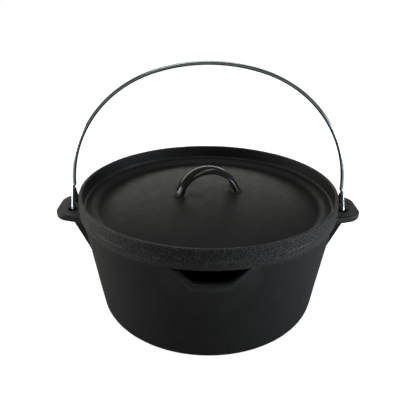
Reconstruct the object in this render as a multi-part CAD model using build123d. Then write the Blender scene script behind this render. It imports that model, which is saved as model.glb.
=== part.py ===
from build123d import *
import math
import os

# A cast iron dutch oven: a pot with two drilled lugs and a pour spout, a flanged lid that
# carries coals and has a cast arch handle, and a wire bail hooked through the lugs.
#
# Frame: millimetres, +Z up. The origin is the centre of the flat base. The lugs and the
# bail's hinge lie along X, and the pour spout faces -Y.

# ---------------------------------------------------------------- driving dimensions
overall_width = 311.15  # across the lug tips
overall_height = 152.4  # base to the crown of the lid handle
casting_edge_radius = 1.2  # softened free edges of both castings
overlap = 1.0  # how far shapes that are joined run into each other
cut_overrun = 10.0  # how far a cut runs past the metal it opens

# Pot
rim_radius = 128.1  # outside of the wall at the rim
rim_height = 110.0
wall_draft = 7.9  # degrees from vertical
wall_thickness = 5.0
floor_thickness = 5.5
base_corner_radius = 14.5

# Pour spout, dipped into the rim
spout_top_half_width = 32.0
spout_floor_half_width = 16.5
spout_floor_height = 98.7
spout_floor_corner = 2.5
spout_reach = 134.5  # from the pot's axis to the lip
spout_lip_radius = 56.0  # in plan
spout_lip_drop = 3.7  # the lip's upright edge, below the spout's floor
spout_root_height = 70.0
spout_root_radius = 45.0
spout_lip_thickness = 6.5

# Lugs
lug_top_height = 108.0
lug_thickness = 6.5
lug_root_half_width = 36.0
lug_tip_half_width = 22.5
lug_corner_radius = 12.0
lug_root_x = 112.0
hole_x = 138.6
hole_spacing = 23.0
hole_diameter = 9.8
web_top_half_width = 23.0
web_foot_half_width = 14.0
web_reach_x = 138.0
web_foot_height = 50.0

# Lid
lid_top_height = 130.3
lid_radius = 131.0  # widest, at the break line of the flange
lid_break_height = 118.5
lid_top_radius = 130.3
lid_foot_radius = 130.0
lid_edge_radius = 1.4
lid_rim_thickness = 3.1
lid_blend_radius = 2.0  # either side of the step from the flange down to the dome
locator_edge_radius = 0.8
shelf_height = 116.3
shelf_outer_radius = 126.3
shelf_inner_radius = 117.0
dome_height = 125.0
dome_shoulder_radius = 80.0  # where the flat crown bends more steeply down
dome_shoulder_height = 119.3
dome_edge_radius = 115.0
dome_edge_height = 112.0
dome_thickness = 4.5
locator_radius = 121.3
locator_height = 106.5
locator_inner_radius = 111.5
locator_slope = 2.0
locator_root_height = 109.0

# Lid handle
handle_turn = 13.0  # degrees about Z: how the lid happens to sit on the pot
handle_offset = (-1.3, -3.2)  # the handle is cast a little off the lid's centre
handle_centre_height = 118.7
handle_inner_radius = 28.6
handle_leg_slope = 62.0  # degrees from level, of the straight legs below the arch
handle_leg_length = 16.0  # before it is cut off level
handle_foot_height = 121.5  # of that level cut, inside the plate
handle_width = 19.6
handle_edge_thickness = 2.5
handle_foot_fillet = 2.0
handle_foot_reach = 48.0  # from the lid's axis, past both feet

# Bail
wire_diameter = 3.6
bail_half_width = 137.3  # to the wire's centre
bail_spring_height = 127.5  # where the arch's sides would stand upright
bail_crown_height = 252.4
bail_side_radius = 122.5
bail_kink_rise = 2.5  # of the neck's bend, above the eye's apex
bail_foot_rise = 3.5  # of the arch's end
eye_radius = 10.8  # of the loop round the bridge between the lug's holes
eye_apex_rise = {+1: 20.0, -1: 24.5}  # above the hinge axis: the hand-bent ends differ
eye_tip_drop = 3.6  # from the apex
eye_bend_radius = 2.0

# ---------------------------------------------------------------- worked out from them
tan_draft = math.tan(math.radians(wall_draft))
lug_mid_height = lug_top_height - lug_thickness / 2
lug_bottom_height = lug_top_height - lug_thickness
handle_crest_radius = overall_height - handle_centre_height


def wall_radius(height, inset=0.0):
    """Radius of the pot's straight wall at a height, less an inset measured level."""
    return rim_radius - (rim_height - height) * tan_draft - inset


def mirrored(point):
    """The same point on the other side of the YZ plane."""
    return Vector(-point.X, point.Y, point.Z)


def revolved_cup(profile_points, corner, radius):
    """Solid of revolution about Z from a half outline, with one corner rounded."""
    outline = Polyline(*profile_points, close=True)
    face = Plane.XZ * make_face(outline)
    corner_vertex = face.vertices().sort_by_distance(Vector(corner[0], 0, corner[1]))[0]
    face = fillet_in_plane(face, [corner_vertex], radius)
    return revolve(face, Axis.Z)


def fillet_in_plane(face, vertices, radius):
    """Round some corners of a flat face."""
    return face.face().fillet_2d(radius, vertices)


# ---------------------------------------------------------------- pot
def pot_outside():
    base_corner = (wall_radius(0), 0)
    points = [(0, 0), base_corner, (rim_radius, rim_height), (0, rim_height)]
    return revolved_cup(points, base_corner, base_corner_radius)


def pot_inside():
    level_thickness = wall_thickness / math.cos(math.radians(wall_draft))
    above = rim_height + cut_overrun
    floor_corner = (wall_radius(floor_thickness, level_thickness), floor_thickness)
    points = [
        (0, floor_thickness),
        floor_corner,
        (wall_radius(above, level_thickness), above),
        (0, above),
    ]
    return revolved_cup(points, floor_corner, base_corner_radius - wall_thickness)


def spout_bulge(inset, top):
    """A cone that opens upward from the wall into an upright lip, up to a height."""
    centre_y = spout_lip_radius - spout_reach
    lip_height = spout_floor_height - spout_lip_drop
    on_base = (Align.CENTER, Align.CENTER, Align.MIN)
    lip_radius = spout_lip_radius - inset
    lip = Cylinder(lip_radius, top - lip_height, align=on_base)
    root_rise = lip_height - spout_root_height
    root = Cone(spout_root_radius - inset, lip_radius, root_rise, align=on_base)
    return Pos(0, centre_y, lip_height) * lip + Pos(0, centre_y, spout_root_height) * root


def spout_lip():
    """Bulge outside the wall that carries the spout out to its lip."""
    return spout_bulge(0, rim_height - casting_edge_radius)


def spout_pocket():
    """The hollow behind the lip, which leaves it as a wall of even thickness."""
    return spout_bulge(spout_lip_thickness, rim_height + cut_overrun)


def spout_channel():
    """The cut that dips the rim: a flat floor between two slopes."""
    slope = (spout_top_half_width - spout_floor_half_width) / (rim_height - spout_floor_height)
    wide = spout_top_half_width + cut_overrun * slope
    points = [
        (-spout_floor_half_width, spout_floor_height),
        (spout_floor_half_width, spout_floor_height),
        (wide, rim_height + cut_overrun),
        (-wide, rim_height + cut_overrun),
    ]
    face = (Plane.XZ * make_face(Polyline(*points, close=True))).face()
    low = face.vertices().sort_by(Axis.Z)[:2]
    face = fillet_in_plane(face, low, spout_floor_corner)
    start = wall_radius(spout_floor_height) - 2 * wall_thickness
    return Pos(0, -start, 0) * extrude(face, spout_reach + cut_overrun - start, dir=(0, -1, 0))


def lug(side):
    """A drilled plate on a tapering web; side is +1 for the right lug, -1 for the left."""
    tip_x = overall_width / 2
    points = [
        (lug_root_x, -lug_root_half_width),
        (tip_x, -lug_tip_half_width),
        (tip_x, lug_tip_half_width),
        (lug_root_x, lug_root_half_width),
    ]
    plate_face = make_face(Polyline(*points, close=True)).face()
    tips = plate_face.vertices().sort_by(Axis.X)[-2:]
    plate_face = fillet_in_plane(plate_face, tips, lug_corner_radius)
    plate = Pos(0, 0, lug_bottom_height) * extrude(plate_face, lug_thickness)
    plate = fillet(free_edges(plate), casting_edge_radius)

    web_top_height = lug_bottom_height + overlap
    web_side = [
        (lug_root_x, web_top_height),
        (web_reach_x, web_top_height),
        (wall_radius(web_foot_height), web_foot_height),
        (lug_root_x, web_foot_height),
    ]
    web_front = [
        (-web_top_half_width, web_top_height),
        (web_top_half_width, web_top_height),
        (web_foot_half_width, web_foot_height),
        (-web_foot_half_width, web_foot_height),
    ]
    side_face = Plane.XZ * make_face(Polyline(*web_side, close=True))
    front_face = Plane.YZ * make_face(Polyline(*web_front, close=True))
    web = extrude(side_face, web_top_half_width, both=True) & extrude(front_face, tip_x)

    body = plate + web
    drill = Cylinder(hole_diameter / 2, 4 * lug_thickness)
    for y in (-hole_spacing / 2, hole_spacing / 2):
        body -= Pos(hole_x, y, lug_mid_height) * drill
    return body if side > 0 else mirror(body, Plane.YZ)


def free_edges(plate):
    """The edges round a lug plate's outline, above and below, but not the buried root's."""
    level = plate.edges().filter_by(Axis.Z, reverse=True)
    return level.filter_by(lambda edge: edge.center().X > lug_root_x + overlap)


def make_pot():
    cup = pot_outside() - pot_inside()
    cup = fillet(cup.edges().group_by(Axis.Z)[-1], casting_edge_radius)
    outworks = spout_lip() + lug(+1) + lug(-1)
    return (cup + (outworks - pot_inside()) - spout_pocket() - spout_channel()).solid()


# ---------------------------------------------------------------- lid
def dome_lines(edge, drop):
    """Half of the dome's outline a drop below its top face, from the axis to its edge."""
    sphere_rise = dome_height - dome_shoulder_height
    sphere_radius = (dome_shoulder_radius**2 + sphere_rise**2) / (2 * sphere_rise)
    half_angle = math.asin(dome_shoulder_radius / sphere_radius) / 2
    crown = (0, dome_height - drop)
    middle = (
        sphere_radius * math.sin(half_angle),
        dome_height - drop - sphere_radius * (1 - math.cos(half_angle)),
    )
    shoulder = (dome_shoulder_radius, dome_shoulder_height - drop)
    flat = ThreePointArc(crown, middle, shoulder)
    steep = TangentArc(shoulder, edge, tangent=flat % 1)
    return [flat.edge(), steep.edge()]


def lid_plate():
    """The dished and domed plate, its flange, its rim and the locator under it."""
    rim_inner_radius = lid_top_radius - lid_rim_thickness
    under_edge = (locator_inner_radius - locator_slope, locator_root_height)
    top_lines = dome_lines((dome_edge_radius, dome_edge_height), 0)
    under_lines = dome_lines(under_edge, dome_thickness)
    outline = [
        (dome_edge_radius, dome_edge_height),
        (shelf_inner_radius, shelf_height),
        (shelf_outer_radius, shelf_height),
        (rim_inner_radius, lid_top_height),
        (lid_top_radius, lid_top_height),
        (lid_radius, lid_break_height),
        (lid_foot_radius, rim_height),
        (locator_radius, rim_height),
        (locator_radius, locator_height),
        (locator_inner_radius, locator_height),
        under_edge,
    ]
    axis_line = Line((0, dome_height - dome_thickness), (0, dome_height))
    sides = [*top_lines, *Polyline(*outline).edges(), *under_lines, axis_line.edge()]
    face = make_face(Wire(sides)).face()

    def corners(*points):
        return [face.vertices().sort_by_distance(Vector(*p))[0] for p in points]

    face = face.fillet_2d(lid_edge_radius, corners(outline[3], outline[4]))
    face = face.fillet_2d(lid_blend_radius, corners(outline[0], outline[1], outline[2]))
    face = face.fillet_2d(locator_edge_radius, corners(outline[6], outline[8]))
    return revolve(Plane.XZ * face, Axis.Z)


def lid_handle():
    """Crested strap: an arch on two straight legs that splay down into the plate."""
    half = handle_width / 2
    thickness = handle_crest_radius - handle_inner_radius
    crest = [(-half, handle_edge_thickness), (0, thickness), (half, handle_edge_thickness)]
    section = make_face(
        Wire([ThreePointArc(*crest), *Polyline(crest[2], (half, 0), (-half, 0), crest[0]).edges()])
    ).face()
    section = section.fillet_2d(casting_edge_radius, section.vertices())

    slope = math.radians(handle_leg_slope)
    shoulder = Vector(math.sin(slope), 0, math.cos(slope)) * handle_inner_radius
    down = Vector(math.cos(slope), 0, -math.sin(slope))
    foot = shoulder + down * handle_leg_length
    right_leg = Line(foot, shoulder)
    arch = ThreePointArc(shoulder, (0, 0, handle_inner_radius), mirrored(shoulder))
    left_leg = Line(mirrored(shoulder), mirrored(foot))
    path = Wire([right_leg.edge(), arch.edge(), left_leg.edge()])
    start = Plane(origin=foot, x_dir=(0, -1, 0), z_dir=down * -1)
    strap = sweep(start * section, path=path)
    # The legs stop level, inside the thickness of the plate.
    level = Plane.XY.offset(handle_foot_height - handle_centre_height)
    strap = split(strap, bisect_by=level, keep=Keep.TOP)
    return Pos(0, 0, handle_centre_height) * strap


def handle_foot_edges(lid):
    """The seam between the dome's upper face and the handle."""
    near_axis = lid.edges().filter_by(
        lambda edge: math.hypot(edge.center().X, edge.center().Y) < handle_foot_reach
    )
    return near_axis.filter_by_position(Axis.Z, dome_edge_height, dome_height + overlap)


def make_lid():
    handle = Pos(*handle_offset, 0) * Rot(0, 0, handle_turn) * lid_handle()
    lid = lid_plate() + handle
    return fillet(handle_foot_edges(lid), handle_foot_fillet).solid()


# ---------------------------------------------------------------- bail
def arch_foot(side):
    """Where the arch ends over one lug, and the direction it climbs from there."""
    height = lug_mid_height + eye_apex_rise[side] + bail_foot_rise
    turn = math.asin((height - bail_spring_height) / bail_side_radius)
    reach = bail_half_width - bail_side_radius * (1 - math.cos(turn))
    return Vector(side * reach, 0, height), Vector(-side * math.sin(turn), 0, math.cos(turn))


def bail_end(side):
    """Path of the wire from the foot of the arch round one lug's bridge to its tip."""
    x = side * hole_x
    axis = lug_mid_height
    apex_rise = eye_apex_rise[side]
    lean = math.asin(eye_radius / apex_rise)  # of the two legs, from vertical
    touch_y = eye_radius * math.cos(lean)
    touch_z = axis + eye_radius * math.sin(lean)
    foot, climb = arch_foot(side)
    kink = foot - climb * (bail_foot_rise - bail_kink_rise)
    apex = (x, 0, axis + apex_rise)
    neck = FilletPolyline(foot, kink, apex, (x, -touch_y, touch_z), radius=eye_bend_radius)
    loop = ThreePointArc((x, -touch_y, touch_z), (x, 0, axis - eye_radius), (x, touch_y, touch_z))
    tip = (x, eye_tip_drop * math.tan(lean), axis + apex_rise - eye_tip_drop)
    leg = Line((x, touch_y, touch_z), tip)
    return [*neck.edges(), loop.edge(), leg.edge()]


def make_bail():
    """One wire: a three-centred arch with an eye at each end."""
    rise = bail_crown_height - bail_spring_height
    inset = bail_half_width - bail_side_radius
    crown_radius = (inset**2 + rise**2 - bail_side_radius**2) / (2 * (rise - bail_side_radius))
    crown_centre = Vector(0, 0, bail_crown_height - crown_radius)
    side_centre = Vector(inset, 0, bail_spring_height)
    join = crown_centre + (side_centre - crown_centre).normalized() * crown_radius
    right_foot, right_climb = arch_foot(+1)
    left_foot, left_climb = arch_foot(-1)
    right = TangentArc(right_foot, join, tangent=right_climb)
    crown = ThreePointArc(join, (0, 0, bail_crown_height), mirrored(join))
    left = TangentArc(left_foot, mirrored(join), tangent=left_climb)
    path = Wire([*bail_end(+1), right.edge(), crown.edge(), left.edge(), *bail_end(-1)])
    start = Plane(origin=path @ 0, z_dir=path % 0)
    return sweep(start * Circle(wire_diameter / 2), path=path).solid()


# ---------------------------------------------------------------- write the parts
os.makedirs("parts", exist_ok=True)
parts = {"pot": make_pot(), "lid": make_lid(), "bail": make_bail()}
for name, solid in parts.items():
    export_step(solid, os.path.join("parts", name + ".step"))
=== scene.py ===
import math

import bpy
import numpy as np
from mathutils import Matrix, Vector


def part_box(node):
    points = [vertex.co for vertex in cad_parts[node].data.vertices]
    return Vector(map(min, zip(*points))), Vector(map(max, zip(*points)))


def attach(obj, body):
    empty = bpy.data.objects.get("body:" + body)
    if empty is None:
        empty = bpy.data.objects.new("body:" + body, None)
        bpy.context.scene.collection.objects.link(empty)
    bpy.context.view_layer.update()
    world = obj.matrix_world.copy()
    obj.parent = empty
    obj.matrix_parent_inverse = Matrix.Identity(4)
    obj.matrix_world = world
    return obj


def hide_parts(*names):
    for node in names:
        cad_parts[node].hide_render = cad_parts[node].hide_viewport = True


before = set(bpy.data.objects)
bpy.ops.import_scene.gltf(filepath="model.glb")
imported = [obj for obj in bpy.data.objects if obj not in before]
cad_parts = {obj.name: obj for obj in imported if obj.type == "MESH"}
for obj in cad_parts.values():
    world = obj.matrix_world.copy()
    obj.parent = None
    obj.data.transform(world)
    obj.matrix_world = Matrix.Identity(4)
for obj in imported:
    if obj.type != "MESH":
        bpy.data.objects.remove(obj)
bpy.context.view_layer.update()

# The finish of a cast iron dutch oven. Shapes are worked out in millimetres, in the row
# frame, and turned to metres when a mesh is made. The pot and the lid are round shells with
# their lugs and handle blended in, and the bail is one bent wire.

MM = 0.001


def box_mm(node):
    """Low and high corners of a node's box."""
    low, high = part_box(node)
    return np.array(low) / MM, np.array(high) / MM


pot_low, pot_high = box_mm("pot")
lid_low, lid_high = box_mm("lid")
_, bail_high = box_mm("bail")

# ---------------------------------------------------------------- sizes, millimetres
# Pot
tip_x = pot_high[0]  # where the lugs end
rim_height = pot_high[2]
spout_reach = -pot_low[1]
rim_radius = 128.1
draft = math.radians(7.9)
wall_thickness = 5.0
wall_level = wall_thickness / math.cos(draft)  # the same, measured level
floor_height = 5.5
outer_corner = 14.5
inner_corner = 9.5
rim_edge = 1.2
lip_edge = 2.6  # rounder than the rim, where the liquid runs over
lip_radius = 56.0
lip_root_radius = 45.0  # where the spout starts to swell out of the wall
lip_height = 95.0
lip_root_height = 70.0
lip_wall = 6.5
lip_blend = 6.0
pocket_blend = 3.0
channel_floor = 98.7
channel_floor_half = 16.5
channel_top_half = 32.0
channel_depth = rim_height - channel_floor
channel_blend = 1.6
spout_columns = 22  # degrees either side of the spout where the columns are closer

# Lugs
plate_mid_height = 104.75
plate_thickness = 6.5
plate_root_x = 112.0
plate_root_half = 36.0
plate_tip_half = 22.5
plate_corner = 12.0
plate_edge = 1.4
web_edge = 1.5
hole_x = 138.6
hole_spacing = 23.0
hole_radius = 4.9
hole_edge = 1.0
web_top = (137.7, 101.5)  # x and z of the gusset's outer edge, at its top and its foot
web_foot = (120.3, 54.5)
web_top_half = 23.0
web_foot_half = 14.0
lug_blend = 5.0
lug_step = 0.8  # of the grid that the lug's surface is drawn on

# Lid
lid_radius = lid_high[0]
break_height = 118.5  # of the ridge round the outer band
lid_top = 130.3
lid_top_inner = 127.2
lid_top_outer = 130.3
lid_bottom = lid_low[2]
ring_outer = 121.3  # the locating ring that sits in the pot's mouth
ring_inner = 111.5
dome_top = 125.0
dome_shoulder = (80.0, 119.3)  # radius and height where the flat crown bends down
dome_edge_radius = 115.0
dome_edge_height = 112.0
dome_thickness = 4.5
dome_valley = 105.0  # radius out to which the lid is plain dome
shelf_height = 116.3
highlight_line_width = 0.9  # of the painted highlight lines on the band's ridge and in the shelf's corner

# Lid handle
handle_turn = math.radians(13)
handle_offset = (-1.3, -3.2)
handle_centre = 118.7
handle_slope = math.radians(62)  # of the straight legs, from level
handle_inner = 28.1  # radius of the inner face
handle_half = 9.8  # half the strap's width
handle_edge = 1.0
handle_side = 29.9  # radius at the strap's two edges
handle_crest = lid_high[2] - handle_centre  # radius along its middle
handle_step = 0.65  # of the grid that the handle's surface is drawn on
foot_blend = 3.2
foot_flare = 1.8  # how much thicker the legs are where they meet the dome

# Bail
wire_radius = bail_high[0] - hole_x
bail_half = 137.3
bail_spring = 127.5  # height where the arch is widest
bail_side_radius = 122.5
bail_crown = bail_high[2] - wire_radius
eye_radius = 10.8  # of the turn round the bridge
eye_apex = {+1: 20.0, -1: 24.5}  # rise of each eye's apex over the hinge line
eye_tip_drop = 3.6  # of the wire's tip below the apex
arch_foot_rise = 3.5  # of the arch's foot over the apex
cap_share = 0.6  # how far the wire's ends bulge, as a share of its radius

# Surfaces
pot_swell = 0.16  # how far each casting wanders from true
lid_swell = 0.14
lug_swell = 0.12
nudge = 0.02  # step over which a field's slope is measured
least_lift = 0.03  # what stands less than this off its host isn't drawn twice
border_lift = 0.15
border_sink = 0.06


# ---------------------------------------------------------------- shape helpers
def smooth_min(a, b, width):
    """The lesser of two values, blended where they differ by less than the width."""
    share = np.clip(0.5 + 0.5 * (b - a) / width, 0, 1)
    return b + (a - b) * share - width * share * (1 - share)


def smooth_max(a, b, width):
    return -smooth_min(-a, -b, width)


def round_max(a, b, radius):
    """Intersection of two distance fields with an edge rounded to that radius."""
    corner = np.hypot(np.maximum(a + radius, 0), np.maximum(b + radius, 0))
    return corner + np.minimum(np.maximum(a, b), -radius)


def smooth_step(low, high, value):
    """0 at low, 1 at high, and an easy curve between them."""
    t = np.clip((value - low) / (high - low), 0, 1)
    return t * t * (3 - 2 * t)


def unevenness(points):
    """Slow wander of a sand-cast surface, from -1 to 1."""
    x, y, z = points[..., 0], points[..., 1], points[..., 2]
    waves = np.sin(0.071 * x + 0.043 * z + 1.3) * np.sin(0.064 * y - 0.052 * z + 0.4)
    ripples = np.sin(0.163 * x - 0.11 * y + 2.1) * np.sin(0.141 * z + 0.09 * y)
    return 0.6 * waves + 0.4 * ripples


def swell_pot(points):
    """Moves the pot's points in or out a little, as its mould was rammed unevenly."""
    height = points[:, 2]
    swell = pot_swell * unevenness(points) * smooth_step(2, 20, height)
    swell *= smooth_step(2, 12, rim_height - height)
    radial = points[:, :2] / np.maximum(np.hypot(*points[:, :2].T), 1)[:, None]
    return points + np.column_stack([radial * swell[:, None], 0 * height])


def swell_lid(points):
    """Lifts or lowers the lid's points a little, apart from its seat on the pot."""
    upper = smooth_step(rim_height, rim_height + 6, points[:, 2])
    return points + [0, 0, 1] * (lid_swell * unevenness(points * 1.1 + 40) * upper)[:, None]


def wall_radius(height):
    """Radius of the pot's plain outer wall."""
    return rim_radius - (rim_height - height) * math.tan(draft)


def make_object(name, points, faces, grain, edge):
    """A smooth mesh in metres. grain says how coarse the casting is, edge how rubbed it is,
    together with painted highlights and a painted reflection.
    """
    mesh = bpy.data.meshes.new(name)
    mesh.from_pydata((np.asarray(points) * MM).tolist(), [], [list(f) for f in faces])
    mesh.polygons.foreach_set("use_smooth", [True] * len(mesh.polygons))
    for label, values in (("grain", grain), ("edge", edge)):
        layer = mesh.attributes.new(label, "FLOAT", "POINT")
        layer.data.foreach_set("value", np.asarray(values, np.float32))
    mesh.update()
    piece = bpy.data.objects.new(name, mesh)
    bpy.context.scene.collection.objects.link(piece)
    return piece


def shell_faces(rows, columns):
    """Quads of a closed band of rings, and fans to one point at each end."""
    r, c = np.meshgrid(np.arange(rows - 1), np.arange(columns), indexing="ij")
    near, far = r * columns + c, r * columns + (c + 1) % columns
    quads = np.stack([near, far, far + columns, near + columns], -1).reshape(-1, 4)
    first, last = rows * columns, rows * columns + 1
    c = np.arange(columns)
    start_fan = np.stack([np.full(columns, first), (c + 1) % columns, c], -1)
    base = (rows - 1) * columns
    end_fan = np.stack([np.full(columns, last), base + c, base + (c + 1) % columns], -1)
    return [*quads.tolist(), *start_fan.tolist(), *end_fan.tolist()]


def shell(rings, angles, grain, edge):
    """Points, faces and surface values of a round shell.

    rings is a list of (radius, height) pairs, each an array over the columns. The angles run
    round from -Y. The first and last ring close on the axis at their own height."""
    radius = np.array([np.broadcast_to(r, angles.shape) for r, _ in rings])
    height = np.array([np.broadcast_to(z, angles.shape) for _, z in rings])
    x, y = radius * np.sin(angles), -radius * np.cos(angles)
    points = np.stack([x, y, height], -1).reshape(-1, 3)
    poles = [[0, 0, height[0].mean()], [0, 0, height[-1].mean()]]
    rows, columns = radius.shape
    spread = [np.repeat(values, columns) for values in (grain, edge)]
    ends = [(values[0], values[-1]) for values in (grain, edge)]
    values = [np.concatenate([s, e]) for s, e in zip(spread, ends)]
    return np.vstack([points, poles]), shell_faces(rows, columns), *values


def arc_steps(centre, radius, start, end, steps):
    """(radius, height) pairs round a corner, angles in degrees from level, outwards."""
    turn = np.radians(np.linspace(start, end, steps))
    return [(centre[0] + radius * math.cos(a), centre[1] + radius * math.sin(a)) for a in turn]


def field_slope(field, points, here):
    """Which way a distance field grows at points where its value is known."""
    return np.stack([(field(points + d) - here) / nudge for d in np.eye(3) * nudge], -1)


def surface_nets(field, low, high, step):
    """Quad mesh of the surface where a distance field is zero, drawn on to it exactly."""
    axes = [np.arange(a, b + step, step) for a, b in zip(low, high)]
    grid = np.stack(np.meshgrid(*axes, indexing="ij"), -1)
    value = field(grid)
    inside = value < 0
    size = np.array(value.shape)
    corners = [(i, j, k) for i in (0, 1) for j in (0, 1) for k in (0, 1)]

    def shifted(array, offset):
        i, j, k = offset
        return array[i : size[0] - 1 + i, j : size[1] - 1 + j, k : size[2] - 1 + k]

    total = sum(shifted(inside, c).astype(int) for c in corners)
    active = (total > 0) & (total < 8)
    crossing_sum = np.zeros((*active.shape, 3))
    crossing_count = np.zeros(active.shape)
    for axis in range(3):
        for start in corners:
            if start[axis]:
                continue
            end = tuple(v + (n == axis) for n, v in enumerate(start))
            a, b = shifted(value, start), shifted(value, end)
            crosses = (a < 0) != (b < 0)
            share = np.where(crosses, a / np.where(crosses, a - b, 1), 0)
            place = np.array(start, float) + share[..., None] * np.eye(3)[axis]
            crossing_sum += np.where(crosses[..., None], place, 0)
            crossing_count += crosses
    cells = np.argwhere(active)
    number = np.full(active.shape, -1)
    number[active] = np.arange(len(cells))
    centre = crossing_sum[active] / crossing_count[active][:, None]
    points = np.array(low) + (cells + centre) * step
    faces = []
    for axis in range(3):
        u, v = [n for n in range(3) if n != axis]
        a = inside[tuple(slice(None, -1) if n == axis else slice(None) for n in range(3))]
        b = inside[tuple(slice(1, None) if n == axis else slice(None) for n in range(3))]
        where = np.argwhere(a != b)
        where = where[(where[:, u] > 0) & (where[:, v] > 0)]
        where = where[(where[:, u] < size[u] - 1) & (where[:, v] < size[v] - 1)]
        back_u, back_v = np.eye(3, dtype=int)[u], np.eye(3, dtype=int)[v]
        ring = [where, where - back_u, where - back_u - back_v, where - back_v]
        quad = np.stack([number[tuple(p.T)] for p in ring], -1)
        flip = a[tuple(where.T)] == (axis == 1)
        quad[flip] = quad[flip][:, ::-1]
        faces.append(quad)
    faces = np.vstack(faces)
    for _ in range(4):
        here = field(points)
        slope = field_slope(field, points, here)
        points = points - here[:, None] * slope / (slope**2).sum(-1, keepdims=True)
    return points, faces


def keep_blended(points, faces, host):
    """Drops what lies on the host surface and tucks the border of the rest just under it."""
    height = host(points)
    kept = faces[(height[faces] > least_lift).any(1)]
    used, renumbered = np.unique(kept, return_inverse=True)
    points, height = points[used], height[used]
    sink = border_sink * (1 - smooth_step(least_lift, border_lift, height))
    points = points - field_slope(host, points, height) * sink[:, None]
    return points, renumbered.reshape(-1, 4)


def merge(*parts):
    """One mesh from several (points, faces, grain, edge)."""
    points, faces, grain, edge, count = [], [], [], [], 0
    for p, f, g, e in parts:
        faces += [[int(i) + count for i in face] for face in f]
        points.append(p)
        grain.append(g)
        edge.append(e)
        count += len(p)
    return np.vstack(points), faces, np.concatenate(grain), np.concatenate(edge)


# ---------------------------------------------------------------- pot
def channel_height(x):
    """Height of the rim across the pour spout."""
    slope = channel_depth / (channel_top_half - channel_floor_half)
    ramp = channel_floor + (np.abs(x) - channel_floor_half) * slope
    return smooth_min(smooth_max(ramp, channel_floor, channel_blend), rim_height, channel_blend)


def bulged_radius(height, angles, wall, inset, blend):
    """A wall's radius where the spout swells out of it, on its outer or inner face."""
    growth = np.minimum((height - lip_root_height) / (lip_height - lip_root_height), 1)
    circle = lip_root_radius + (lip_radius - lip_root_radius) * growth - inset
    centre = spout_reach - lip_radius
    reach = circle**2 - (centre * np.sin(angles)) ** 2
    lip = centre * np.cos(angles) + np.sqrt(np.maximum(reach, 0))
    return smooth_max(wall + 0 * angles, lip, blend)


def pot_outer_radius(height, angles):
    return bulged_radius(height, angles, wall_radius(height), 0, lip_blend)


def pot_inner_radius(height, angles):
    wall = wall_radius(height) - wall_level
    return bulged_radius(height, angles, wall, lip_wall, pocket_blend)


def pot_shell():
    """Up the outside, over the rim and the spout's lip, and down the inside."""
    near = np.radians(np.linspace(-spout_columns, spout_columns, 111))
    rest = np.radians(np.linspace(spout_columns, 360 - spout_columns, 265))[1:-1]
    angles = np.concatenate([near, rest])
    front = np.cos(angles) > 0

    def rim_at(radius):
        return np.where(front, channel_height(radius * np.sin(angles)), rim_height)

    base_rings = (25, 50, 75, 90)
    rings = [(r, 0.0) for r in base_rings]
    turned = -math.degrees(draft)
    # A corner's centre stands its radius over this inside the leaning wall's foot.
    widening = math.tan(math.radians(90) / 2 + draft / 2)
    centre = (wall_radius(0) - outer_corner / widening, outer_corner)
    rings += arc_steps(centre, outer_corner, -90, turned, 12)
    foot = rings[-1][1]

    top = np.full(angles.shape, rim_height)
    for _ in range(6):
        top = rim_at(pot_outer_radius(top, angles))
    dip = smooth_step(channel_depth - 4, channel_depth - 0.5, rim_height - top)
    edge = rim_edge + (lip_edge - rim_edge) * dip
    for t in np.linspace(0, 1, 38)[1:]:
        height = foot + (top - edge - foot) * t
        rings.append((pot_outer_radius(height, angles), height))
    first_edge_row = len(rings) - 2
    outer = rings[-1][0]
    inner_top = pot_inner_radius(top, angles)
    for a in np.radians(np.linspace(0, 90, 7))[1:]:
        radius = outer - edge * (1 - math.cos(a))
        rings.append((radius, rim_at(radius) - edge * (1 - math.sin(a))))
    for t in np.linspace(0, 1, 7)[1:]:
        radius = (outer - edge) * (1 - t) + (inner_top + rim_edge) * t
        rings.append((radius, rim_at(radius)))
    for a in np.radians(np.linspace(90, 0, 5))[1:]:
        radius = inner_top + rim_edge * (1 - math.cos(a))
        rings.append((radius, rim_at(radius) - rim_edge * (1 - math.sin(a))))
    last_edge_row = len(rings)

    corner = wall_radius(floor_height) - wall_level - inner_corner / widening
    inner_foot = floor_height + inner_corner * (1 - math.sin(draft))
    start = rings[-1][1]
    for t in np.linspace(0, 1, 20)[1:]:
        height = start + (inner_foot - start) * t
        rings.append((pot_inner_radius(height, angles), height))
    centre = (corner, floor_height + inner_corner)
    rings += arc_steps(centre, inner_corner, turned, -90, 8)[1:]
    rings += [(r, floor_height) for r in base_rings[::-1]]

    grain = np.full(len(rings), 0.5)
    rub_and_sheen = np.zeros(len(rings))
    rub_and_sheen[first_edge_row:last_edge_row] = 1.0
    points, faces, grain, rub_and_sheen = shell(rings, angles, grain, rub_and_sheen)
    # The rim's edge rows are rubbed a little all round. On the spout's lip the full share is
    # rubbed wear and also a painted highlight.
    on_lip = smooth_step(channel_depth - 4, channel_depth - 1, rim_height - points[:, 2])
    rub_and_sheen *= 0.15 + 0.85 * on_lip
    return swell_pot(points), faces, grain, rub_and_sheen


def wall_field(p):
    """Distance from the pot's plain outer wall."""
    return (np.hypot(p[..., 0], p[..., 1]) - wall_radius(p[..., 2])) * math.cos(draft)


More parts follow.
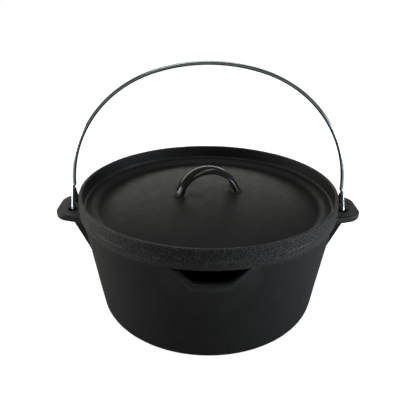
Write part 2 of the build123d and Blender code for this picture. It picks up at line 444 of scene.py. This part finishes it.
def lug_field(p):
    """Distance field of the right lug blended into the wall."""
    x, y, z = p[..., 0], np.abs(p[..., 1]), p[..., 2]
    taper = (plate_root_half - plate_tip_half) / (tip_x - plate_root_x)
    side = (y - plate_root_half + (x - plate_root_x) * taper) / math.hypot(1, taper)
    plan = round_max(side, x - tip_x, plate_corner)
    flat = np.abs(z - plate_mid_height) - plate_thickness / 2
    plate = round_max(plan, flat, plate_edge)
    run, rise = web_top[0] - web_foot[0], web_top[1] - web_foot[1]
    face = ((x - web_foot[0]) * rise - (z - web_foot[1]) * run) / math.hypot(run, rise)
    spread = (web_top_half - web_foot_half) / (plate_mid_height - web_foot[1])
    flank = (y - web_foot_half - (z - web_foot[1]) * spread) / math.hypot(1, spread)
    web = round_max(round_max(face, flank, web_edge), z - plate_mid_height, 1.0)
    body = smooth_min(plate, web, lug_blend)
    hole = np.hypot(x - hole_x, y - hole_spacing / 2) - hole_radius
    body = round_max(body, -hole, hole_edge)
    return smooth_min(body, wall_field(p), lug_blend)


def lug(side):
    """One lug's surface, drawn on the right and mirrored for the left."""
    low = (plate_root_x, -46, 44)
    high = (tip_x + 2, 46, rim_height)
    points, faces = surface_nets(lug_field, low, high, lug_step)
    points, faces = keep_blended(points, faces, wall_field)
    if side < 0:
        points = points * [-1, 1, 1]
        faces = faces[:, ::-1]
    points = swell_pot(points) + [0, 0, 1] * (lug_swell * unevenness(points * 1.6))[:, None]
    out = np.abs(points[:, 0]) - hole_x
    rub_and_sheen = 0.35 * smooth_step(4, 15, np.hypot(out, np.abs(points[:, 1]) * 0.5))
    grain = 0.5 + 0.25 * smooth_step(1, 8, wall_field(points))
    return points, faces, grain, rub_and_sheen


# ---------------------------------------------------------------- lid
def dome_height(radius, drop=0.0):
    """Height of the dome's upper face, or of its underside when drop is the thickness.

    A flat crown, and from the shoulder out a steeper arc that carries on from it."""
    rise = dome_top - dome_shoulder[1]
    crown = (dome_shoulder[0] ** 2 + rise**2) / (2 * rise)
    lean = math.asin(dome_shoulder[0] / crown)
    out, down = dome_edge_radius - dome_shoulder[0], dome_shoulder[1] - dome_edge_height
    bend = (out**2 + down**2) / (2 * (down * math.cos(lean) - out * math.sin(lean)))
    centre = (dome_shoulder[0] - bend * math.sin(lean), dome_shoulder[1] - bend * math.cos(lean))
    flat = dome_top - crown + np.sqrt(crown**2 - np.minimum(radius, dome_shoulder[0]) ** 2)
    steep = centre[1] + np.sqrt(np.maximum(bend**2 - (radius - centre[0]) ** 2, 0))
    return np.where(radius < dome_shoulder[0], flat, steep) - drop


def rounded_profile(corners, longest):
    """(radius, height) pairs along straight runs with rounded corners (r, z, corner radius)."""
    line = [np.array(corners[0][:2], float)]
    for before, here, after in zip(corners, corners[1:], corners[2:]):
        a, b, c = (np.array(p[:2], float) for p in (before, here, after))
        to_a, to_c = (a - b) / np.linalg.norm(a - b), (c - b) / np.linalg.norm(c - b)
        half = math.acos(np.clip(to_a @ to_c, -1, 1)) / 2
        reach = here[2] / math.tan(half)
        middle = b + (to_a + to_c) / np.linalg.norm(to_a + to_c) * here[2] / math.sin(half)
        first, last = b + to_a * reach - middle, b + to_c * reach - middle
        steps = max(3, round((math.pi - 2 * half) / math.radians(14)))
        for t in np.linspace(0, 1, steps + 1):
            turn = first * (1 - t) + last * t
            line.append(middle + turn / np.linalg.norm(turn) * here[2])
    line.append(np.array(corners[-1][:2], float))
    full = [line[0]]
    for a, b in zip(line, line[1:]):
        pieces = max(1, math.ceil(np.linalg.norm(b - a) / longest))
        full += [a + (b - a) * t for t in np.linspace(0, 1, pieces + 1)[1:]]
    return full


def lid_shell():
    """Out over the dome and the shelf, round the rim and the locating ring, and back."""
    angles = np.radians(np.arange(0, 360, 1.2))
    rings = [(r, dome_height(r)) for r in np.linspace(4, dome_valley, 26)]
    outline = [  # radius, height, radius of the corner
        (dome_valley, dome_height(dome_valley), 0),
        (114.0, dome_edge_height + 0.3, 4.0),
        (118.2, shelf_height, 4.5),
        (126.3, shelf_height, 1.8),
        (lid_top_inner, lid_top, 1.3),
        (lid_top_outer, lid_top, 1.2),
        (130.7, break_height + 1.6, 1.5),
        (lid_radius, break_height, 1.2),
        (130.5, break_height - 1.8, 1.5),
        (130.0, rim_height, 1.0),
        (ring_outer, rim_height, 0.6),
        (ring_outer, lid_bottom, 1.0),
        (ring_inner, lid_bottom, 1.0),
        (ring_inner - 2, 109.0, 1.5),
        (dome_valley, dome_height(dome_valley, dome_thickness), 0),
    ]
    profile = rounded_profile(outline, 2.5)
    rings += [tuple(p) for p in profile[1:]]
    rings += [(r, dome_height(r, dome_thickness)) for r in np.linspace(dome_valley, 4, 26)[1:]]
    radius = np.array([r for r, _ in rings])
    height = np.array([z for _, z in rings])
    outside = (radius > 127.6) & (height > rim_height - 0.5)
    grain = np.where(outside, 1.0, 0.25 + 0.45 * smooth_step(108, 118, radius))
    rub_and_sheen = np.where((radius > 126.4) & (height > lid_top - 1.0), 0.3, 0.0)
    # A painted highlight line, lightening the colour in the concave corner where the shelf meets
    # the rim's inner wall.
    at_foot = (np.abs(height - shelf_height - 1.0) < 1.4) & (radius < 127)
    rub_and_sheen += 0.8 * np.exp(-(((radius - 125.7) / highlight_line_width) ** 2)) * at_foot
    points, faces, grain, rub_and_sheen = shell(rings, angles, grain, rub_and_sheen)
    # A painted highlight along the band's ridge, broken into streaks and only across the front,
    # and a painted reflection of the pale floor lightening the band's lower part.
    around = np.arctan2(points[:, 0], -points[:, 1])
    ridge_highlight = smooth_step(-0.3, 0.9, np.sin(9 * around + 1) + np.sin(14 * around))
    ridge_highlight *= smooth_step(1.2, 0.7, np.abs(around))
    on_break = np.exp(-(((points[:, 2] - break_height) / highlight_line_width) ** 2))
    lower_band_reflection = 0.35 * smooth_step(break_height - 0.5, break_height - 2.5, points[:, 2])
    outer = (np.hypot(points[:, 0], points[:, 1]) > 129.5) & (points[:, 2] > rim_height - 1)
    rub_and_sheen += (1.1 * ridge_highlight * on_break + lower_band_reflection) * outer
    return swell_lid(points), [f[::-1] for f in faces], grain, rub_and_sheen


def dome_field(p):
    """How far a point is over the dome."""
    radius = np.hypot(p[..., 0], p[..., 1])
    return p[..., 2] - dome_height(np.minimum(radius, dome_edge_radius))


def handle_place(p):
    """Radius in the arch, which the straight legs carry on, and the place across it."""
    c, s = math.cos(handle_turn), math.sin(handle_turn)
    x, y = p[..., 0] - handle_offset[0], p[..., 1] - handle_offset[1]
    along = np.abs(x * c + y * s)
    across = -x * s + y * c
    rise = p[..., 2] - handle_centre
    on_leg = along * math.cos(handle_slope) > rise * math.sin(handle_slope)
    leg = along * math.sin(handle_slope) + rise * math.cos(handle_slope)
    return np.where(on_leg, leg, np.hypot(along, rise)), across


def handle_field(p):
    """Distance field of the crested strap blended into the dome."""
    radial, across = handle_place(p)
    sag = handle_crest - handle_side
    arc = (handle_half**2 + sag**2) / (2 * sag)
    roof = np.hypot(across, radial - handle_crest + arc) - arc
    strap = round_max(roof, np.abs(across) - handle_half, handle_edge)
    inner = handle_inner - foot_flare * smooth_step(16, 5, p[..., 2] - handle_centre)
    strap = round_max(strap, inner - radial, handle_edge)
    return smooth_min(strap, dome_field(p), foot_blend)


def handle():
    """The handle's surface, down to where its legs run out on the dome."""
    # A box that the turned handle just fits in, with room for the blend at its feet.
    low = (-49, -31, dome_top - 8)
    high = (46, 26, lid_high[2] + 1.5)
    points, faces = surface_nets(handle_field, low, high, handle_step)
    points, faces = keep_blended(points, faces, dome_field)
    radial, across = handle_place(points)
    risen = smooth_step(dome_top + 1, dome_top + 6, points[:, 2])
    crest = smooth_step(handle_side - 2, handle_side + 1, radial)
    return swell_lid(points), faces, 0.25 - 0.17 * risen, risen * (0.8 + 0.2 * crest)


# ---------------------------------------------------------------- bail
def arc_points(centre, start, end, steps):
    """Points on the shorter arc between two points about a centre."""
    a, b = np.array(start, float) - centre, np.array(end, float) - centre
    angle = math.acos(np.clip(a @ b / np.linalg.norm(a) / np.linalg.norm(b), -1, 1))
    t = np.linspace(0, 1, steps)[:, None]
    return centre + (a * np.sin((1 - t) * angle) + b * np.sin(t * angle)) / math.sin(angle)


def arch_foot(side):
    """Where the arch ends over one lug, and the direction it climbs from there."""
    height = plate_mid_height + eye_apex[side] + arch_foot_rise
    turn = math.asin((height - bail_spring) / bail_side_radius)
    reach = bail_half - bail_side_radius * (1 - math.cos(turn))
    foot = np.array([side * reach, 0, height])
    climb = np.array([-side * math.sin(turn), 0, math.cos(turn)])
    return foot, climb


def bail_end(side):
    """Centre line from the foot of the arch round one lug's bridge to the wire's tip."""
    x, axis, apex = side * hole_x, plate_mid_height, plate_mid_height + eye_apex[side]
    lean = math.asin(eye_radius / eye_apex[side])
    touch = np.array([x, eye_radius * math.cos(lean), axis + eye_radius * math.sin(lean)])
    foot, climb = arch_foot(side)
    neck = [
        foot,
        foot - climb * 1.2 + (side * 0.05, 0, 0),
        foot - climb * 2.1 + (side * 0.35, 0, 0),
        (x - side * 0.35, 0, apex + 0.7),
        (x, -0.5, apex - 0.6),
        (x, -1.8, apex - 2.8),
    ]
    sweep = np.linspace(lean, -math.pi - lean, 33)
    loop = [(x, -eye_radius * math.cos(a), axis + eye_radius * math.sin(a)) for a in sweep]
    tip = np.array([x, eye_tip_drop * math.tan(lean), apex - eye_tip_drop])
    return np.array([*neck, *loop, (touch + tip) / 2, tip])


def bail_line():
    """Centre line from the right eye's tip over the arch to the left eye's tip."""
    rise = bail_crown - bail_spring
    inset = bail_half - bail_side_radius
    crown_radius = (inset**2 + rise**2 - bail_side_radius**2) / (2 * (rise - bail_side_radius))
    crown_centre = np.array([0, 0, bail_crown - crown_radius])
    side_centre = np.array([inset, 0, bail_spring])
    way = (side_centre - crown_centre) / np.linalg.norm(side_centre - crown_centre)
    join = crown_centre + way * crown_radius
    flip = np.array([-1, 1, 1])
    right = arc_points(side_centre, arch_foot(1)[0], join, 40)
    crown = arc_points(crown_centre, join, join * flip, 70)
    left = arc_points(side_centre * flip, join * flip, arch_foot(-1)[0], 40)
    return np.vstack([bail_end(1)[::-1], right[1:], crown[1:], left[1:], bail_end(-1)[1:]])


def wire_mesh(line, radius, sides=20):
    """A tube round the line, with the ends rounded off."""
    tangent = np.gradient(line, axis=0)
    tangent /= np.linalg.norm(tangent, axis=1)[:, None]
    normal = np.cross(tangent[0], [1, 0, 0])
    normal /= np.linalg.norm(normal)
    angles = np.linspace(0, 2 * math.pi, sides, endpoint=False)
    circles = []
    for along in tangent:
        normal = normal - along * (normal @ along)
        normal /= np.linalg.norm(normal)
        other = np.cross(along, normal)
        circles.append(np.outer(np.cos(angles), normal) + np.outer(np.sin(angles), other))

    def cap_ring(end, way, lift):
        bulge = way * tangent[end] * radius * math.sin(lift) * cap_share
        return line[end] + bulge + circles[end] * radius * math.cos(lift)

    caps = np.radians([75, 50, 25])
    rings = [cap_ring(0, -1, lift) for lift in caps]
    rings += [place + circle * radius for place, circle in zip(line, circles)]
    rings += [cap_ring(-1, 1, lift) for lift in caps[::-1]]
    first_pole = line[0] - tangent[0] * radius * cap_share
    last_pole = line[-1] + tangent[-1] * radius * cap_share
    return np.vstack([*rings, first_pole, last_pole]), shell_faces(len(rings), sides)


# ---------------------------------------------------------------- materials
def node(tree, kind, **inputs):
    """A new node, with the named inputs set."""
    made = tree.nodes.new(kind)
    for key, value in inputs.items():
        made.inputs[key.replace("_", " ")].default_value = value
    return made


def noise(tree, coordinates, scale, detail, roughness=0.55):
    made = node(tree, "ShaderNodeTexNoise", Scale=scale, Detail=detail, Roughness=roughness)
    tree.links.new(coordinates, made.inputs["Vector"])
    return made.outputs["Fac"]


def mapped(tree, source, low, high, start=0.0, end=1.0):
    """Low to high as the source goes from start to end, and level beyond them."""
    made = node(tree, "ShaderNodeMapRange")
    made.inputs["From Min"].default_value = start
    made.inputs["From Max"].default_value = end
    made.inputs["To Min"].default_value = low
    made.inputs["To Max"].default_value = high
    tree.links.new(source, made.inputs["Value"])
    return made.outputs["Result"]


def combine(tree, operation, a, b):
    """Arithmetic on two values, each a number or another node's output."""
    made = tree.nodes.new("ShaderNodeMath")
    made.operation = operation
    for socket, value in zip(made.inputs, (a, b)):
        if isinstance(value, (int, float)):
            socket.default_value = value
        else:
            tree.links.new(value, socket)
    return made.outputs[0]


def product(tree, a, b):
    return combine(tree, "MULTIPLY", a, b)


def mixed(tree, factor, a, b):
    """Colour a where the factor is 0 and b where it is 1, each a colour or an output."""
    made = tree.nodes.new("ShaderNodeMix")
    made.data_type = "RGBA"
    tree.links.new(factor, made.inputs["Factor"])
    for socket, value in ((made.inputs[6], a), (made.inputs[7], b)):
        if isinstance(value, tuple):
            socket.default_value = (*value, 1)
        else:
            tree.links.new(value, socket)
    return made.outputs[2]


def attribute(tree, name):
    """A value that the mesh carries at its points."""
    made = tree.nodes.new("ShaderNodeAttribute")
    made.attribute_name = name
    return made.outputs["Fac"]


def bump(tree, height, distance, strength, below=None):
    """Normals of small relief, on top of the relief below."""
    made = node(tree, "ShaderNodeBump", Distance=distance)
    if isinstance(strength, (int, float)):
        made.inputs["Strength"].default_value = strength
    else:
        tree.links.new(strength, made.inputs["Strength"])
    tree.links.new(height, made.inputs["Height"])
    if below is not None:
        tree.links.new(below, made.inputs["Normal"])
    return made.outputs["Normal"]


def new_material(name):
    made = bpy.data.materials.new(name)
    made.use_nodes = True
    tree = made.node_tree
    coordinates = tree.nodes.new("ShaderNodeTexCoord").outputs["Object"]
    return made, tree, tree.nodes["Principled BSDF"], coordinates


def seasoned_iron():
    """Black seasoned cast iron: sand grain, oil-baked mottling and rubbed edges, with painted
    highlights, a painted reflection and painted glints lightened into the colour.
    """
    made, tree, shader, where = new_material("seasoned_iron")
    grain = attribute(tree, "grain")
    edge = attribute(tree, "edge")
    coarse = mapped(tree, grain, 0, 1, start=0.78, end=1.0)  # only on the lid's outer band
    mottle = noise(tree, where, scale=26, detail=4)
    patches = noise(tree, where, scale=110, detail=3)
    pores = noise(tree, where, scale=620, detail=3, roughness=0.6)
    sand = noise(tree, where, scale=1150, detail=2, roughness=0.6)
    speck = product(tree, mapped(tree, sand, 0, 1, start=0.55, end=0.75), grain)
    grit = combine(tree, "ADD", product(tree, pores, 0.45), product(tree, sand, 0.55))
    # Pale flecks on the outer band: sand grit, and also painted glints.
    fleck_glint = product(tree, mapped(tree, grit, 0, 1, start=0.50, end=0.60), coarse)
    # The edge value holds real rubbing together with painted highlights on the lid's band, the
    # shelf's corner and the spout's lip, and a painted reflection on the band's lower part. All of
    # it lightens and smooths the iron.
    worn_and_highlight = product(tree, edge, mapped(tree, pores, 0.75, 1, start=0.35, end=0.6))
    bare_and_highlight = product(tree, worn_and_highlight, product(tree, grain, 0.6))

    dark_oil, light_oil = (0.0110, 0.0113, 0.0112), (0.0165, 0.0165, 0.0160)
    warm_oil = (0.021, 0.0208, 0.0198)
    grey_speck, pale_fleck_glint, bare_iron_and_highlight = (0.05, 0.05, 0.049), (0.1, 0.1, 0.098), (0.08, 0.08, 0.077)
    tone = mixed(tree, mapped(tree, mottle, 0, 1, start=0.3, end=0.7), dark_oil, light_oil)
    tone = mixed(tree, mapped(tree, patches, 0, 0.3, start=0.45, end=0.75), tone, warm_oil)
    tone = mixed(tree, product(tree, speck, 0.35), tone, grey_speck)
    # Pale flecks, partly painted glints on the band.
    tone = mixed(tree, product(tree, fleck_glint, 0.6), tone, pale_fleck_glint)
    # Lighter towards pale iron where rubbed, and where highlights and the floor's reflection are
    # painted on.
    tone = mixed(tree, bare_and_highlight, tone, bare_iron_and_highlight)
    tree.links.new(tone, shader.inputs["Base Color"])

    rough = mapped(tree, patches, 0.47, 0.57, start=0.3, end=0.7)
    rough = combine(tree, "ADD", rough, product(tree, grain, 0.12))
    rough = combine(tree, "SUBTRACT", rough, product(tree, worn_and_highlight, 0.42))
    rough = combine(tree, "SUBTRACT", rough, product(tree, speck, 0.12))
    rough = combine(tree, "SUBTRACT", rough, product(tree, fleck_glint, 0.14))
    tree.links.new(rough, shader.inputs["Roughness"])
    shader.inputs["Specular IOR Level"].default_value = 0.34

    pitting = combine(tree, "ADD", product(tree, grain, 0.4), product(tree, coarse, 0.6))
    lumps = bump(tree, patches, distance=0.9 * MM, strength=0.1)
    deep = bump(tree, pores, distance=0.9 * MM, strength=pitting, below=lumps)
    fine = bump(tree, sand, distance=0.45 * MM, strength=product(tree, grain, 0.8), below=deep)
    tree.links.new(fine, shader.inputs["Normal"])
    return made


def zinc_wire():
    """Bright drawn wire with a thin zinc coat: faint clouding and a few dull spots."""
    made, tree, shader, where = new_material("zinc_wire")
    cloud = noise(tree, where, scale=60, detail=2)
    speck = noise(tree, where, scale=700, detail=2)
    clouded, bright, dull = (0.50, 0.55, 0.56), (0.64, 0.69, 0.70), (0.34, 0.38, 0.39)
    tone = mixed(tree, mapped(tree, cloud, 0, 1, start=0.3, end=0.7), clouded, bright)
    tone = mixed(tree, mapped(tree, speck, 0, 0.3, start=0.66, end=0.78), tone, dull)
    tree.links.new(tone, shader.inputs["Base Color"])
    rough = mapped(tree, cloud, 0.16, 0.24, start=0.3, end=0.7)
    tree.links.new(rough, shader.inputs["Roughness"])
    shader.inputs["Metallic"].default_value = 1.0
    relief = bump(tree, speck, distance=0.1 * MM, strength=0.12)
    tree.links.new(relief, shader.inputs["Normal"])
    return made


def pale_floor():
    """White paper that the camera sees almost evenly bright, with a soft contact shadow."""
    made = bpy.data.materials.new("floor_paper")
    made.use_nodes = True
    tree = made.node_tree
    tree.nodes.clear()
    where = tree.nodes.new("ShaderNodeTexCoord").outputs["Object"]
    fibre = noise(tree, where, scale=40, detail=3)
    diffuse = tree.nodes.new("ShaderNodeBsdfDiffuse")
    shade = mixed(tree, fibre, (0.62, 0.62, 0.62), (0.66, 0.66, 0.66))
    tree.links.new(shade, diffuse.inputs["Color"])
    glow = tree.nodes.new("ShaderNodeEmission")
    seen = tree.nodes.new("ShaderNodeLightPath").outputs["Is Camera Ray"]
    tree.links.new(product(tree, seen, 0.95), glow.inputs["Strength"])
    both = tree.nodes.new("ShaderNodeAddShader")
    tree.links.new(diffuse.outputs[0], both.inputs[0])
    tree.links.new(glow.outputs[0], both.inputs[1])
    out = tree.nodes.new("ShaderNodeOutputMaterial")
    tree.links.new(both.outputs[0], out.inputs["Surface"])
    return made


# ---------------------------------------------------------------- the pieces
iron, zinc = seasoned_iron(), zinc_wire()

pot_piece = make_object("pot_casting", *merge(pot_shell(), lug(+1), lug(-1)))
lid_piece = make_object("lid_casting", *merge(lid_shell(), handle()))
wire_points, wire_faces = wire_mesh(bail_line(), wire_radius)
blank = np.zeros(len(wire_points))
bail_piece = make_object("bail_wire", wire_points, wire_faces, blank, blank)

for piece, body, material, slot in (
    (pot_piece, "pot", iron, "seasoned_iron"),
    (lid_piece, "lid", iron, "seasoned_iron"),
    (bail_piece, "bail", zinc, "zinc_wire"),
):
    piece.data.materials.append(material)
    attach(piece, body)
    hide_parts(body)


# ---------------------------------------------------------------- floor and light
def make_floor():
    """A wide sheet of pale paper under the pot."""
    half = 6.0
    mesh = bpy.data.meshes.new("floor")
    corners = [(-half, -half, 0), (half, -half, 0), (half, half, 0), (-half, half, 0)]
    mesh.from_pydata(corners, [], [(0, 1, 2, 3)])
    floor = bpy.data.objects.new("floor", mesh)
    floor.location.z = -0.4 * MM  # just under the pot's base
    bpy.context.scene.collection.objects.link(floor)
    mesh.materials.append(pale_floor())


def soft_box(name, place, target, size, power, colour):
    """A rectangular lamp, seen only by what it lights."""
    data = bpy.data.lights.new(name, "AREA")
    data.shape = "RECTANGLE"
    data.size, data.size_y = size
    data.energy, data.color = power, colour
    light = bpy.data.objects.new(name, data)
    light.location = place
    light.rotation_euler = (Vector(target) - Vector(place)).to_track_quat("-Z", "Y").to_euler()
    light.visible_camera = False
    bpy.context.scene.collection.objects.link(light)


def make_lights():
    """Low lamps at both sides, a narrow one overhead and a wide low one behind."""
    wall_middle, lid_middle = (0, 0, 0.08), (0, 0, 0.12)
    warm, cool, paper = (1.0, 0.99, 0.95), (0.89, 0.94, 1.0), (1.0, 1.0, 0.91)
    soft_box("key_left", (-1.3, 0.1, 0.2), wall_middle, (0.7, 0.34), 7.2, warm)
    soft_box("fill_right", (1.3, -0.35, 0.2), wall_middle, (0.7, 0.34), 11, cool)
    soft_box("overhead", (-0.1, 0.1, 1.25), lid_middle, (1.5, 0.16), 2.8, (1.0, 1.0, 0.93))
    soft_box("back_strip", (-0.32, 1.3, 0.48), lid_middle, (2.2, 0.26), 4.6, paper)


def make_world():
    """White where the camera sees it, and dim where it lights the pot."""
    world = bpy.data.worlds.new("studio")
    bpy.context.scene.world = world
    world.use_nodes = True
    tree = world.node_tree
    tree.nodes.clear()
    dim = node(tree, "ShaderNodeBackground", Color=(0.9, 0.93, 1.0, 1), Strength=0.12)
    white = node(tree, "ShaderNodeBackground", Color=(1, 1, 1, 1), Strength=1.0)
    seen = tree.nodes.new("ShaderNodeLightPath").outputs["Is Camera Ray"]
    pick = tree.nodes.new("ShaderNodeMixShader")
    tree.links.new(seen, pick.inputs[0])
    tree.links.new(dim.outputs[0], pick.inputs[1])
    tree.links.new(white.outputs[0], pick.inputs[2])
    out = tree.nodes.new("ShaderNodeOutputWorld")
    tree.links.new(pick.outputs[0], out.inputs["Surface"])
    bpy.context.scene.view_settings.view_transform = "Standard"


make_floor()
make_lights()
make_world()

# ---------------------------------------------------------------- camera, metres
camera_distance = 0.4549
camera_height = 0.3219
camera_aim = Vector((-0.0005, 0, 0.1044))
camera_swing = math.radians(-1.1)  # about Z, towards -X
camera_roll = math.radians(0.73)
camera_lens = 41.44  # focal length and sensor width, millimetres
camera_sensor = 36.0


def make_camera():
    data = bpy.data.cameras.new("camera")
    data.sensor_width = camera_sensor
    data.lens = camera_lens
    data.clip_start, data.clip_end = 0.02, 50
    camera = bpy.data.objects.new("camera", data)
    bpy.context.scene.collection.objects.link(camera)
    swing = Matrix.Rotation(camera_swing, 4, "Z")
    place = swing @ Vector((0, -camera_distance, camera_height))
    aimed = (swing @ camera_aim - place).to_track_quat("-Z", "Y").to_matrix().to_4x4()
    roll = Matrix.Rotation(camera_roll, 4, "Z")
    camera.matrix_world = Matrix.Translation(place) @ aimed @ roll
    bpy.context.scene.camera = camera


make_camera()

bpy.context.view_layer.update()
